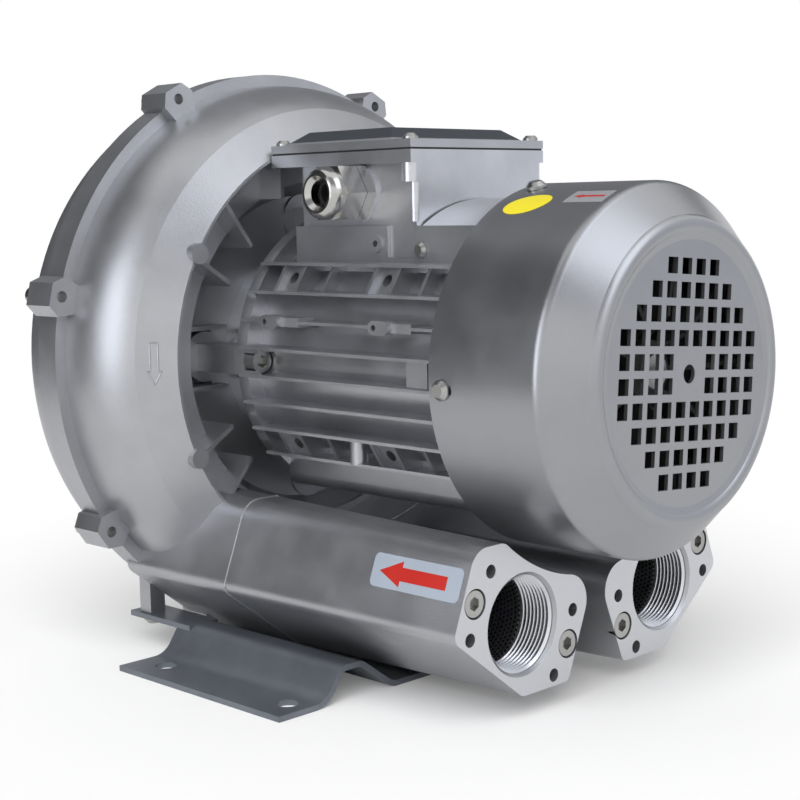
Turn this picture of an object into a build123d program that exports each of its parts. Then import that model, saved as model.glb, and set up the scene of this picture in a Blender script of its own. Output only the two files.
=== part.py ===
from build123d import *
from math import asin, cos, degrees, hypot, radians, sin, sqrt
import os

# Side channel blower. Millimetres, +Z up, the motor axis along Y, fan cowl towards -Y.
# The origin is on the floor, under the shaft, where the foot's flat middle lies.

os.makedirs("parts", exist_ok=True)

# ---------------------------------------------------------------- clearances
touch_gap = 0.05          # between faces that are screwed together but kept apart as solids
loose = 0.3               # between pieces that only pass each other
hole_slack = 0.35         # a screw's hole over its shank, in radius

# ---------------------------------------------------------------- driving dimensions
channel_radius = 127.0    # middle of the side channel
channel_half = 20.0       # half its width
casing_wall = 4.0         # outside the channel, next to the rim
rim_width = 7.2           # how far the rim stands out of the casing
rim_clearance = 8.3       # between the rim and the floor
shell_radius = channel_radius + channel_half + casing_wall
rim_radius = shell_radius + rim_width
axis_height = rim_radius + rim_clearance

# casing and cover
joint_y = 90.0            # plane where casing and cover meet
casing_rim = 10.0         # rim thickness, casing half
cover_rim = 6.0           # rim thickness, cover half
crease_radius = shell_radius - 14.4
crease_y = 39.0
lip_radius = channel_radius - 8.0  # inner edge of the sloped ring face
lip_y = 26.0
ledge_y = 45.0            # step inside the recess, and the face of the motor bosses
ledge_radius = channel_radius - channel_half - 11.0
floor_radius = ledge_radius - 8.0
floor_y = 60.0            # bottom of the recess
hub_bore = 44.0           # hole in the casing's middle wall
channel_depth = 44.0      # from the joint plane to its round bottom, casing side
cover_channel_depth = 36.0
cover_wall = 5.0
stripper_half_angle = 15.0  # half of the closed stretch between the two ports
casing_ribs = (134.5, 151.5, 221.0, 205.5)
rib_thickness = 2.4
lug_angles = (62.0, 118.0, 166.6, 215.0, 248.0, 292.0, 325.0, 13.4)
lug_screw_radius = rim_radius + 2.3
lug_wall = 6.8            # from a lug's screw to its tip
lug_half = 10.8           # half a lug's width at its screw
lug_tip_half = 6.2
lug_root = 4.0            # how deep a lug stands in the shell
lug_front = 6.0           # how far a lug stands in front of the rim
lug_screw = 6.0

# impeller
running_gap = 0.6
impeller_width = 28.0
vane_count = 36
vane_thickness = 2.6
vane_root_radius = channel_radius - channel_half + 1.0
web_thickness = 9.0
impeller_hub_radius = 26.0
impeller_hub_length = 34.0

# ports and silencers
port_spacing = 112.0
port_drop = lip_radius    # port axis under the shaft axis
port_face_y = -155.0
seam_y = 7.0              # where a silencer meets the casing's stub
thread_radius = 23.9      # G 1 1/2
thread_length = 22.0
port_chamfer = 1.6
port_growth = 1.10        # draft: outline at the seam over outline at the port face
stub_growth = 1.15        # and at the joint plane
cowl_relief = 103.0       # the top of a silencer follows a circle round the shaft
port_hole_circle = 75.0
port_hole_radius = 3.35   # tapped M8
port_hole_depth = 16.0
port_screw = 8.0
sleeve_radius = 22.4
sleeve_wall = 1.0
liner_radius_port = 26.0
liner_radius_seam = 28.5
duct_radius = 22.0

# motor frame
frame_front = -129.0
frame_back = 27.0
fin_back = 22.0
ring_radius = 78.0
ring_length = 8.0
frame_root = 69.0
frame_bore = 62.0
fin_tip = 82.0
fin_pitch = 14.7
fin_rows = 8
fin_thickness = 2.2
fin_draft = 1.2
saddle_half = 50.0
saddle_height = 71.0
saddle_back = 8.0
cap_radius = 84.0         # round top in front of the terminal box
cap_length = 47.0
ear_circle = 75.0         # radius of the motor's fixing screws
ear_half_width = 5.5       # from the screw's middle to the outside
ear_front = 6.5
ear_boss_radius = 14.0
ear_screw = 8.0
web_groups = (-67.0, 3.0)   # far face of each pair of webs between the outer fins
web_spread = 16.0
web_hole = 2.9
web_hole_length = 30.0
web_rear = 17.0
pad_groups = (-86.0, -4.0)

# shields, shaft and rotor
drive_bearing = (30.0, 62.0, 16.0, 8)
fan_bearing = (20.0, 47.0, 14.0, 7)
drive_bearing_y = 34.0    # front face
fan_bearing_y = -143.0
shield_radius = 60.0
fan_shield_depth = 13.0
shaft_nose = 24.0         # diameter under the impeller
shaft_seal_bore = 28.0
shaft_core = 36.0
shaft_fan = 17.0
rotor_radius = 37.2
air_gap = 0.4
core_front = -98.0
core_back = -8.0
stator_slots = 24
slot_depth = 13.0
slot_width = 6.0
winding_overhang = 22.0

# fan and cowl
cowl_radius = 90.8
cowl_wall = 2.0
cowl_back = -128.5
cowl_shoulder = -193.2
cowl_face = -211.0
bead_radius = 71.7
bead_height = 2.0
grille_radius = 60.0
grille_pitch = 11.2
grille_hole = 7.6
grille_rows = (4, 6, 8, 10, 10, 10, 10, 8, 6, 4)
grille_centre_hole = 9.0
grille_turn = -4.5        # the cowl sits a little turned on the motor
cowl_screw_angles = (182.5, 104.0, 2.5, 284.0)
cowl_screw_y = -137.0
cowl_screw = 5.0
fan_front = -196.0
fan_depth = 30.0
fan_radius = 80.0
fan_blades = 9

# terminal box
box_half = 48.0
box_front = -80.5
box_back = 6.0
box_flange_half = box_half + 3.0
box_flange_back = 25.5
box_height = 38.0         # over the saddle, up to the lid gasket
box_flange_depth = 6.5
box_wall = 4.0
gasket_thickness = 1.0
lid_thickness = 5.2
panel_half = box_half - 6.0
panel_front = -58.0
panel_length = 62.0
panel_height = 6.6
panel_bevel = 9.0
lid_screw = 4.0
lid_screw_length = 10.5
gland_y = -39.0
gland_drop = 21.0         # gland axis under the gasket
gland_thread = 12.5       # M25
gland_hex = 27.0
gland_body_length = 6.0
gland_nut_length = 21.0
gland_nut_grip = 13.0
cable_hole = 6.5
seal_wall = 2.5           # rubber round the cable
gland_cut = 100.0         # length of the tools that bore the gland through
dome_round = 3.4
mouth_depth = 2.4         # of the chamfer round the cable's hole

# foot
foot_spacing_x = 240.0
foot_spacing_y = 100.0
foot_holes_y = -5.5       # middle of the four holes
foot_hole = 6.0
foot_half_width = 137.0
foot_front = -68.5
foot_back = 64.0
foot_sheet = 3.0
foot_crest = 88.0         # middle of each hump
foot_crest_half = 6.0
foot_crest_height = 16.0  # under side of the sheet at the crest
foot_outer_bend = 105.0
foot_inner_bend = 60.0
foot_outer_radius = 16.0
foot_crest_radius = 5.0
foot_inner_radius = 14.0
tongue_half = 10.0
leg_x = 91.0
leg_width = 10.0
leg_depth = 10.0
tongue_back = joint_y + leg_depth + 7
foot_screw = 6.0
leg_screw = 5.0
front_boss_y = 26.0
foot_boss_x = 38.0
foot_boss_radius = 9.0
foot_boss_sink = 5.0      # how far a boss stands in the silencer's stub
foot_screw_length = 14.0

# remaining sizes
port_low = 35.4            # from a port's axis to its flat bottom
port_corners = ((-48.8, 1.4), (-33, 42), (65.4, 42), (33.7, -port_low), (-1, -port_low))
port_roundings = ((-48.8, 1.4, 6), (-33, 42, 12), (-12.4, 42, 8), (54.6, 16, 14.5), (33.7, -port_low, 4), (-1, -port_low, 6))
port_screw_angle = 154.0
port_hole_angle = 127.0
port_screw_gap = 0.9       # round a sunk head
port_screw_depth = 8.6
lip_draft = 6.0
lip_edge = 1.5
lip_boss_angles = (150.5, 205.0)
lip_boss_radius = 5.5
pair_rib_offset = 16.5
pair_rib_end = 66.0
pair_rib_y = 50.0
rib_end = 85.0            # inner end of a long rib, and the level of its front edge there
rib_end_y = 34.0
upright_rib_x = 42.5
frame_tunnel = 99.5       # clear space round the motor in front of the ledge
ear_angles = (0.0, 90.0, 180.0, 270.0)
ear_half_height = 7.4
ear_recess = 10.0         # depth of the recess beside a side boss, under the floor
ear_pocket = 11.5         # depth of the pocket for the screw's head
ear_pocket_radius = 7.2
hub_cap_radius = 30.0
hub_cap_y = 119.0
hub_front = 16.0          # impeller hub ahead of the joint plane
hub_back = 10.0
vane_web = 3.0
vane_tip_chamfer = 5.0
shaft_fit = 0.02
key_width = 8.0
key_rise = 2.5
impeller_bolt = 10.0
shaft_front = -192.0
clip_y = -165.9
clip_thickness = 1.5
ball_gap = 0.25
web_inset = 2.0
pad_length = 14.0
post_y = -48.0
pad_height = 7.0
front_flange_radius = 80.0
shield_screw_angles = (45.0, 135.0, 225.0, 315.0)
shield_screw_circle = 74.0
shield_screw = 6.0
fan_shield_radius = 84.0
spring_space = 3.0
seal_outer = 40.0
seal_y = 61.0
seal_width = 8.0
lead_hole = 30.0
lead_y = -36.0
box_screw_x = box_half - 12.0
lid_post_radius = 4.8
notch_length = 19.0
notch_depth = 6.0
notch_foot = 55.0
box_screw = 5.0
board_y = -36.0
gland_boss_radius = 15.0
gland_hex_turn = 30.0
earth_y = -86.0
saddle_boss_y = -54.0
saddle_boss_z = 62.0
earth_z = 59.0


# ---------------------------------------------------------------- helpers
def turned(*corners, arc=360.0, start=0.0):
    """A solid turned about the shaft axis from (radius, y) corners."""
    face = make_face(Polyline(*corners, close=True))
    return Pos(0, 0, axis_height) * Rot(0, -start, 0) * revolve(face, Axis.Y, arc)


def ring(outer, inner, y0, y1):
    return turned((inner, y0), (outer, y0), (outer, y1), (inner, y1))


def disc(radius, y0, y1):
    return turned((0, y0), (radius, y0), (radius, y1), (0, y1))


def section(y, x=0.0, z=0.0):
    """A plane across the shaft axis: local x is X and local y is Z, from the axis."""
    return Plane(origin=(x, y, axis_height + z), x_dir=(1, 0, 0), z_dir=(0, -1, 0))


def prism(sketch, y0, y1, x=0.0, z=0.0):
    """A sketch on that plane, pushed from y1 to y0."""
    return extrude(section(y1, x, z) * sketch, amount=y1 - y0)


def rod(radius, y0, y1, x=0.0, z=0.0):
    return prism(Circle(radius), y0, y1, x, z)


def block(x0, x1, y0, y1, z0, z1):
    return Pos((x0 + x1) / 2, (y0 + y1) / 2, (z0 + z1) / 2) * Box(x1 - x0, y1 - y0, z1 - z0)


def polar(radius, angle):
    return radius * cos(radians(angle)), radius * sin(radians(angle))


def around(shape, angle):
    """The shape turned about the shaft axis; a positive angle lifts +X towards +Z."""
    return Pos(0, 0, axis_height) * Rot(0, -angle, 0) * Pos(0, 0, -axis_height) * shape


def mirrored(shape):
    return mirror(shape, Plane.YZ)


def cap_screw(size, length, key=True):
    """A socket cap screw along +Z, its head's seat at z = 0 and its head above."""
    head = Cylinder(0.8 * size, size, align=(Align.CENTER, Align.CENTER, Align.MIN))
    shank = Pos(0, 0, -length) * Cylinder(size / 2, length + 0.5, align=(Align.CENTER, Align.CENTER, Align.MIN))
    socket = Pos(0, 0, size / 2) * extrude(RegularPolygon(0.43 * size, 6), amount=size)
    return head + shank - socket if key else head + shank


def pan_screw(size, length):
    """A pan-head screw along +Z, its head's seat at z = 0."""
    head = make_face(
        Polyline((0, 0), (size, 0), (size, 0.3 * size), (0.62 * size, 0.7 * size), (0, 0.7 * size), close=True)
    )
    shank = Pos(0, 0, -length) * Cylinder(size / 2, length + 0.5, align=(Align.CENTER, Align.CENTER, Align.MIN))
    return Rot(90, 0, 0) * revolve(head, Axis.Y) + shank


def flat_screw(size, length):
    """A countersunk screw along +Z, its head's top at z = 0."""
    cone = Pos(0, 0, -size / 2) * Cone(size / 2, size, size / 2)
    shank = Pos(0, 0, -length) * Cylinder(size / 2, length - size / 2, align=(Align.CENTER, Align.CENTER, Align.MIN))
    socket = extrude(RegularPolygon(0.36 * size, 6), amount=-0.4 * size)
    return Pos(0, 0, size / 4) * cone + shank - socket


def facing(shape, x, y, z, direction):
    """Turns a screw made along +Z so that its head looks along the direction."""
    return Plane(origin=(x, y, z), z_dir=direction) * shape


def save(name, shape):
    export_step(shape, f"parts/{name}.step")


def group(shapes):
    return Compound(children=list(shapes))


# ---------------------------------------------------------------- ports
def port_outline(growth, near=True):
    """The silencer's outline round its port axis, hollowed by a circle round the shaft."""
    corners = Polyline(*port_corners, close=True)
    relief = Pos(port_spacing / 2, port_drop) * Circle(cowl_relief)
    shape = make_face(corners) - relief
    for x, z, radius in port_roundings:
        shape = fillet(shape.vertices().sort_by_distance((x, z))[0], radius)
    shape = scale(shape, growth)
    return shape if near else mirror(shape, Plane.YZ)


def port_centre(side):
    return side * port_spacing / 2, -port_drop


def port_prism(side, y0, y1, growth0, growth1):
    """The tapered outline between two planes."""
    x, z = port_centre(side)
    near = side < 0
    front = section(y0, x, z) * port_outline(growth0, near)
    back = section(y1, x, z) * port_outline(growth1, near)
    return loft([front.face(), back.face()], ruled=True)


def port_screw_places(side):
    """The two long screws lie opposite each other on the hole circle."""
    x, z = port_centre(side)
    for angle in (port_screw_angle, port_screw_angle + 180):
        dx, dz = polar(port_hole_circle / 2, angle)
        yield x - side * dx, z + dz


def port_hole_places(side):
    x, z = port_centre(side)
    for angle in (0, port_hole_angle, 180, 180 + port_hole_angle):
        dx, dz = polar(port_hole_circle / 2, angle)
        yield x - side * dx, z + dz


def silencer(side):
    x, z = port_centre(side)
    body = port_prism(side, port_face_y, seam_y, 1.0, port_growth)
    body -= rod(thread_radius, port_face_y, port_face_y + thread_length, x, z)
    mouth = Cone(thread_radius + port_chamfer, thread_radius, port_chamfer)
    body -= facing(mouth, x, port_face_y + port_chamfer / 2, axis_height + z, (0, 1, 0))
    body -= liner_space(side)
    for hx, hz in port_hole_places(side):
        body -= rod(port_hole_radius, port_face_y, port_face_y + port_hole_depth, hx, hz)
    for hx, hz in port_screw_places(side):
        body -= rod(port_screw / 2 + hole_slack, port_face_y, seam_y, hx, hz)
        body -= rod(0.8 * port_screw + port_screw_gap, port_face_y, port_face_y + port_screw_depth, hx, hz)
    return body


def liner_space(side):
    """The tapered hollow behind the thread."""
    x, z = port_centre(side)
    start = port_face_y + thread_length
    length = seam_y - start
    space = Cone(liner_radius_port, liner_radius_seam, length)
    return facing(space, x, start + length / 2, axis_height + z, (0, 1, 0))


def liner(side):
    x, z = port_centre(side)
    start = port_face_y + thread_length + touch_gap
    length = seam_y - touch_gap - start
    foam = Cone(liner_radius_port - touch_gap, liner_radius_seam - touch_gap, length)
    foam = facing(foam, x, start + length / 2, axis_height + z, (0, 1, 0))
    return foam - rod(sleeve_radius + sleeve_wall + touch_gap, start, seam_y, x, z)


def sleeve(side):
    """The perforated tube that holds the foam back."""
    x, z = port_centre(side)
    start = port_face_y + thread_length + 2 * touch_gap
    end = seam_y - 2 * touch_gap
    return rod(sleeve_radius + sleeve_wall, start, end, x, z) - rod(sleeve_radius, start, end, x, z)


def port_screws(side):
    seat = port_face_y + port_screw_depth - touch_gap
    length = seam_y - seat + 22
    return [
        facing(cap_screw(port_screw, length), x, seat, axis_height + z, (0, -1, 0))
        for x, z in port_screw_places(side)
    ]


# ---------------------------------------------------------------- casing and cover
impeller_radius = channel_radius + channel_half - running_gap
impeller_front = joint_y - impeller_width / 2
impeller_back = joint_y + impeller_width / 2
lug_start = joint_y - casing_rim - lug_front


def channel(depth, direction):
    """The side channel: straight sides and a round bottom, closed at the stripper."""
    inner = channel_radius - channel_half
    outer = channel_radius + channel_half
    round_y = joint_y + direction * (depth - channel_half)
    bottom = joint_y + direction * depth
    edges = [
        Polyline((inner, round_y), (inner, joint_y), (outer, joint_y), (outer, round_y)),
        ThreePointArc((outer, round_y), (channel_radius, bottom), (inner, round_y)),
    ]
    open_arc = 360 - 2 * stripper_half_angle
    slot = revolve(make_face(edges), Axis.Y, open_arc)
    return Pos(0, 0, axis_height) * Rot(0, 90 + stripper_half_angle, 0) * slot


def lug(y0, y1):
    outline = Polyline(
        (lug_screw_radius + lug_wall, -lug_tip_half),
        (lug_screw_radius + lug_wall, lug_tip_half),
        (lug_screw_radius, lug_half),
        (shell_radius - lug_root, lug_tip_half),
        (shell_radius - lug_root, -lug_tip_half),
        (lug_screw_radius, -lug_half),
        close=True,
    )
    return prism(make_face(outline), y0, y1)


def cover_screw_places():
    for angle in lug_angles:
        yield polar(lug_screw_radius, angle)


def shell_section():
    """Outside of the casing as a (radius, y) outline, down to the joint plane."""
    rim_y = joint_y - casing_rim
    return [
        Polyline(
            (hub_bore, joint_y),
            (hub_bore, floor_y),
            (floor_radius, floor_y),
            (ledge_radius, ledge_y + 3),
            (ledge_radius, ledge_y),
            (lip_radius - lip_draft, ledge_y),
            (lip_radius - lip_edge, lip_y),
            (lip_radius, lip_y),
            (crease_radius, crease_y),
        ),
        ThreePointArc((crease_radius, crease_y), (shell_radius - 4.2, crease_y + 14), (shell_radius, rim_y - 10)),
        Polyline(
            (shell_radius, rim_y - 10),
            (shell_radius + 0.8, rim_y),
            (rim_radius, rim_y),
            (rim_radius, joint_y),
            (hub_bore, joint_y),
        ),
    ]


def recess_ribs():
    """Ribs across the ledge of the recess, as cast on both sides."""
    r1 = lip_radius - lip_edge
    half = rib_thickness / 2
    profile = Polyline(
        (r1, lip_y + 1), (r1, ledge_y + 1), (floor_radius, floor_y + 1), (rib_end, floor_y + 1), (rib_end, rib_end_y),
        close=True,
    )
    rib = Pos(0, 0, axis_height) * extrude(make_face(profile), amount=half, both=True)
    for angle in casing_ribs:
        yield around(rib, angle)
        yield around(rib, 180 - angle)
    level = block(pair_rib_end, ledge_radius + 2, pair_rib_y, floor_y + 1, axis_height - half, axis_height + half)
    for side in (-1, 1):
        for offset in (-pair_rib_offset, pair_rib_offset):
            yield Pos(0, 0, offset) * around(level, 90 - 90 * side)
    for x in (-upright_rib_x, upright_rib_x):
        yield block(x - half, x + half, lip_y + 1, ledge_y + 1, axis_height + 86, axis_height + sqrt(r1**2 - x**2))


def casing():
    body = Pos(0, 0, axis_height) * revolve(make_face(shell_section()), Axis.Y)
    for side in (-1, 1):
        body += port_prism(side, seam_y, joint_y, port_growth, stub_growth)
    body -= ring(frame_tunnel, 0, seam_y - 1, ledge_y)
    for side in (-1, 1):
        x0, x1 = sorted((side * (ear_circle - 5), side * (ledge_radius - 1)))
        half = pair_rib_offset - rib_thickness / 2
        body -= block(x0, x1, ledge_y, floor_y + ear_recess, axis_height - half, axis_height + half)
    for rib in recess_ribs():
        body += rib
    for angle in lip_boss_angles:
        x, z = polar(lip_radius - 1, angle)
        for sx in (-x, x):
            body += rod(lip_boss_radius, lip_y - 1.5, ledge_y + 1, sx, z)
    for angle in lug_angles:
        body += around(lug(lug_start, joint_y), angle)
    for angle in ear_angles:
        x, z = polar(ear_circle, angle)
        body += rod(ear_boss_radius, floor_y - 1, floor_y + ear_recess, x, z)
        arm = block(
            ear_circle - 11, ear_circle + ear_half_width, frame_back + touch_gap, floor_y + 1, 0, 2 * ear_half_height
        )
        body += around(Pos(0, 0, axis_height - ear_half_height) * arm, angle)
    body -= channel(channel_depth, -1)
    body -= disc(impeller_radius + running_gap, impeller_front - running_gap, joint_y)
    for side in (-1, 1):
        x, z = port_centre(side)
        body -= rod(duct_radius, seam_y, joint_y - channel_depth + channel_half, x, z)
        for hx, hz in port_screw_places(side):
            body -= rod(port_screw / 2, seam_y, seam_y + 24, hx, hz)
    for x, y in foot_boss_places():
        low = foot_sheet + touch_gap
        high = axis_height - port_drop - port_low + foot_boss_sink
        body += Pos(x, y, (low + high) / 2) * Cylinder(foot_boss_radius, high - low)
        body -= Pos(x, y, low) * Cylinder(foot_screw / 2, 2 * (foot_screw_length - foot_sheet + 1))
    for x, z in cover_screw_places():
        body -= rod(lug_screw / 2, lug_start, joint_y, x, z)
    for angle in ear_angles:
        x, z = polar(ear_circle, angle)
        body -= rod(ear_screw / 2, frame_back, frame_back + 18, x, z)
    return body


def cover():
    back = joint_y + touch_gap
    wall_y = impeller_back + running_gap
    outer = channel_radius + channel_half + cover_wall
    inner = channel_radius - channel_half - cover_wall
    round_y = joint_y + cover_channel_depth - channel_half
    top_y = joint_y + cover_channel_depth + cover_wall
    edges = [
        Polyline((0, back), (0, hub_cap_y), (hub_cap_radius, hub_cap_y), (hub_cap_radius + 4, wall_y + 6)),
        Polyline((hub_cap_radius + 4, wall_y + 6), (inner, wall_y + 6)),
        ThreePointArc((inner, wall_y + 6), (channel_radius, top_y), (outer, round_y)),
        Polyline((outer, round_y), (outer, back + cover_rim), (rim_radius, back + cover_rim), (rim_radius, back), (0, back)),
    ]
    body = Pos(0, 0, axis_height) * revolve(make_face(edges), Axis.Y)
    for angle in range(0, 360, 45):
        rib = block(hub_cap_radius, inner + 4, wall_y + 5, wall_y + 13, axis_height - 2, axis_height + 2)
        body += around(rib, angle + 22.5)
    for angle in lug_angles:
        body += around(lug(back, back + cover_rim), angle)
    for side in (-1, 1):
        x = side * leg_x
        body += block(
            x - leg_width / 2, x + leg_width / 2, back, back + leg_depth,
            foot_top + touch_gap, axis_height - sqrt(rim_radius**2 - leg_x**2) + 6,
        )
        body -= Pos(x, back + leg_depth / 2, foot_top + 7) * Cylinder(leg_screw / 2, 15)
    body -= channel(cover_channel_depth, 1)
    body -= disc(impeller_radius + running_gap, back - 1, wall_y)
    body -= disc(hub_cap_radius - cover_wall, wall_y - 1, hub_cap_y - cover_wall)
    for x, z in cover_screw_places():
        body -= rod(lug_screw / 2 + hole_slack, back, back + cover_rim, x, z)
    return body


def cover_screws():
    seat = joint_y + touch_gap + cover_rim
    return [
        facing(cap_screw(lug_screw, cover_rim + casing_rim), x, seat, axis_height + z, (0, 1, 0))
        for x, z in cover_screw_places()
    ]


# ---------------------------------------------------------------- impeller
def impeller():
    c = joint_y
    half = impeller_width / 2
    web = web_thickness / 2
    hub = impeller_hub_radius
    bore = shaft_nose / 2 + shaft_fit
    fin = vane_web / 2
    r0, r1 = vane_root_radius, impeller_radius
    edges = [
        Polyline((r0, c - half), (r0 - 5, c - half), (r0 - 8, c - web), (hub + 4, c - web), (hub, c - hub_front)),
        Polyline((hub, c - hub_front), (bore, c - hub_front), (bore, c + hub_back), (hub, c + hub_back)),
        Polyline((hub, c + hub_back), (hub + 4, c + web), (r0 - 8, c + web), (r0 - 5, c + half), (r0, c + half)),
        ThreePointArc((r0, c + half), (r0 + 5, c + 5), (r0 + 18, c + fin)),
        Polyline((r0 + 18, c + fin), (r1, c + fin), (r1, c - fin), (r0 + 18, c - fin)),
        ThreePointArc((r0 + 18, c - fin), (r0 + 5, c - 5), (r0, c - half)),
    ]
    body = Pos(0, 0, axis_height) * revolve(make_face(edges), Axis.Y)
    vane = block(
        r0 - 2, r1, c - half, c + half, axis_height - vane_thickness / 2, axis_height + vane_thickness / 2
    )
    tips = vane.edges().filter_by(Axis.Z).group_by(Axis.X)[-1]
    vane = chamfer(tips, vane_tip_chamfer)
    vanes = [around(vane, 360 * i / vane_count) for i in range(vane_count)]
    body = body + vanes
    return body - key_slot(key_width + 2 * touch_gap, c - hub_front - 1, c + hub_back + 1, bore + key_rise)


def key_slot(width, y0, y1, top):
    return block(-width / 2, width / 2, y0, y1, axis_height + top - 2 * key_rise, axis_height + top)


def impeller_key():
    r = shaft_nose / 2
    return block(
        -key_width / 2, key_width / 2, joint_y - hub_front + 2, joint_y + hub_back - 3,
        axis_height + r - key_rise + touch_gap, axis_height + r + key_rise - touch_gap,
    )


def impeller_washer():
    seat = joint_y + hub_back + touch_gap
    return ring(impeller_hub_radius - 6, impeller_bolt / 2 + hole_slack, seat, seat + 3)


def impeller_bolt_piece():
    seat = joint_y + hub_back + 2 * touch_gap + 3
    screw = cap_screw(impeller_bolt, 26)
    return facing(screw, 0, seat, axis_height, (0, 1, 0))


# ---------------------------------------------------------------- shaft and bearings
def shaft():
    d_bore, d_outer, d_width, _ = drive_bearing
    f_bore, f_outer, f_width, _ = fan_bearing
    drive_end = drive_bearing_y + d_width
    fan_end = fan_bearing_y + f_width
    nose = shaft_nose / 2
    body = turned(
        (0, shaft_front),
        (shaft_fan / 2, shaft_front),
        (shaft_fan / 2, fan_bearing_y - 6),
        (f_bore / 2, fan_bearing_y - 6),
        (f_bore / 2, fan_end),
        (f_bore / 2 + 3, fan_end),
        (f_bore / 2 + 3, core_front - 4),
        (shaft_core / 2, core_front - 4),
        (shaft_core / 2, drive_bearing_y),
        (d_bore / 2, drive_bearing_y),
        (d_bore / 2, drive_end),
        (shaft_seal_bore / 2, drive_end),
        (shaft_seal_bore / 2, joint_y - hub_front - touch_gap),
        (nose, joint_y - hub_front - touch_gap),
        (nose, joint_y + hub_back - 2),
        (0, joint_y + hub_back - 2),
    )
    body -= rod(impeller_bolt / 2, joint_y + hub_back - 28, joint_y + hub_back)
    body -= key_slot(key_width, joint_y - hub_front + 2, joint_y + hub_back - 3, nose + key_rise)
    groove = ring(shaft_fan / 2 + 1, shaft_fan / 2 - 1, clip_y, clip_y + clip_thickness + 2 * touch_gap)
    return body - groove


def bearing(size, y):
    """Outer ring, inner ring and the caged balls of a deep-groove bearing."""
    bore, outside, width, balls = size
    middle = (bore + outside) / 4
    ball = (outside - bore) * 0.15
    depth = ball + ball_gap
    outer_wall = middle + ball * 0.55
    inner_wall = middle - ball * 0.55
    track = Pos(0, 0, axis_height) * revolve(Pos(middle, y + width / 2) * Circle(depth), Axis.Y)
    outer = ring(outside / 2 - touch_gap, outer_wall, y + touch_gap, y + width - touch_gap) - track
    inner = ring(inner_wall, bore / 2 + touch_gap, y + touch_gap, y + width - touch_gap) - track
    cage = ring(outer_wall - loose, inner_wall + loose, y + width / 2 - 1.5, y + width / 2 + 1.5)
    ring_ball = Pos(middle, y + width / 2, axis_height) * Rot(90, 0, 0) * Sphere(ball)
    cage += [around(ring_ball, 360 * i / balls + 10) for i in range(balls)]
    return outer, inner, cage


def rotor_core():
    return ring(rotor_radius, shaft_core / 2 + touch_gap, core_front, core_back)


def rotor_cage():
    """The cast end rings with their small blades."""
    rings = []
    for y0, y1 in ((core_front - 10, core_front - touch_gap), (core_back + touch_gap, core_back + 10)):
        end = ring(rotor_radius - 2, rotor_radius - 12, y0, y1)
        outward = -8 if y0 < core_front else 8
        for i in range(8):
            z0 = axis_height - 1.2
            blade = block(
                rotor_radius - 11, rotor_radius - 3, min(y0, y0 + outward), max(y1, y1 + outward), z0, z0 + 2.4
            )
            end += around(blade, 45 * i)
        rings.append(end)
    return rings


def stator_core():
    body = ring(frame_bore - touch_gap, rotor_radius + air_gap, core_front, core_back)
    slot = block(
        rotor_radius, rotor_radius + slot_depth + air_gap, core_front - 1, core_back + 1,
        axis_height - slot_width / 2, axis_height + slot_width / 2,
    )
    return body - [around(slot, 360 * i / stator_slots) for i in range(stator_slots)]


def stator_windings():
    """Copper in the slots and the two bundled ends."""
    half = slot_width / 2 - touch_gap
    r0 = rotor_radius + 3
    r1 = rotor_radius + slot_depth + air_gap - touch_gap
    bar = block(r0 + 1, r1, core_front - 4, core_back + 4, axis_height - half, axis_height + half)
    bars = [around(bar, 360 * i / stator_slots) for i in range(stator_slots)]
    ends = [
        turned((r0, y), (r1 + 2, y), (r1, y + way * winding_overhang), (r0 + 2, y + way * winding_overhang))
        for y, way in ((core_front - 3, -1), (core_back + 3, 1))
    ]
    return ends[0] + bars + ends[1]


# ---------------------------------------------------------------- motor housing
def fin_height(z, reach=None):
    return sqrt((reach or fin_tip) ** 2 - z**2)


def fin_sketch():
    """The cross-section of the frame: round root and level fins with draft."""
    shape = Sketch() + Circle(frame_root)
    root, tip = fin_thickness / 2 + fin_draft / 2, fin_thickness / 2 - fin_draft / 4
    for i in range(fin_rows):
        z = fin_pitch * (i - (fin_rows - 1) / 2)
        x = fin_height(z)
        outline = Polyline((-x, z - tip), (0, z - root), (x, z - tip), (x, z + tip), (0, z + root), (-x, z + tip), close=True)
        shape += make_face(outline)
    return shape


def saddle_block(y0, y1, z0, z1):
    part = block(-saddle_half, saddle_half, y0, y1, axis_height + z0, axis_height + z1)
    return part


def fin_web(side, row, y0, y1, inset):
    """A wall between two neighbouring fins, from the root to just under their tips."""
    z0 = fin_pitch * (row - (fin_rows - 1) / 2)
    z1 = z0 + fin_pitch
    x0, x1 = fin_height(z0) - inset, fin_height(z1) - inset
    outline = Polyline((side * 40, z0), (side * x0, z0), (side * x1, z1), (side * 40, z1), close=True)
    return prism(make_face(outline), y0, y1)


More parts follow.
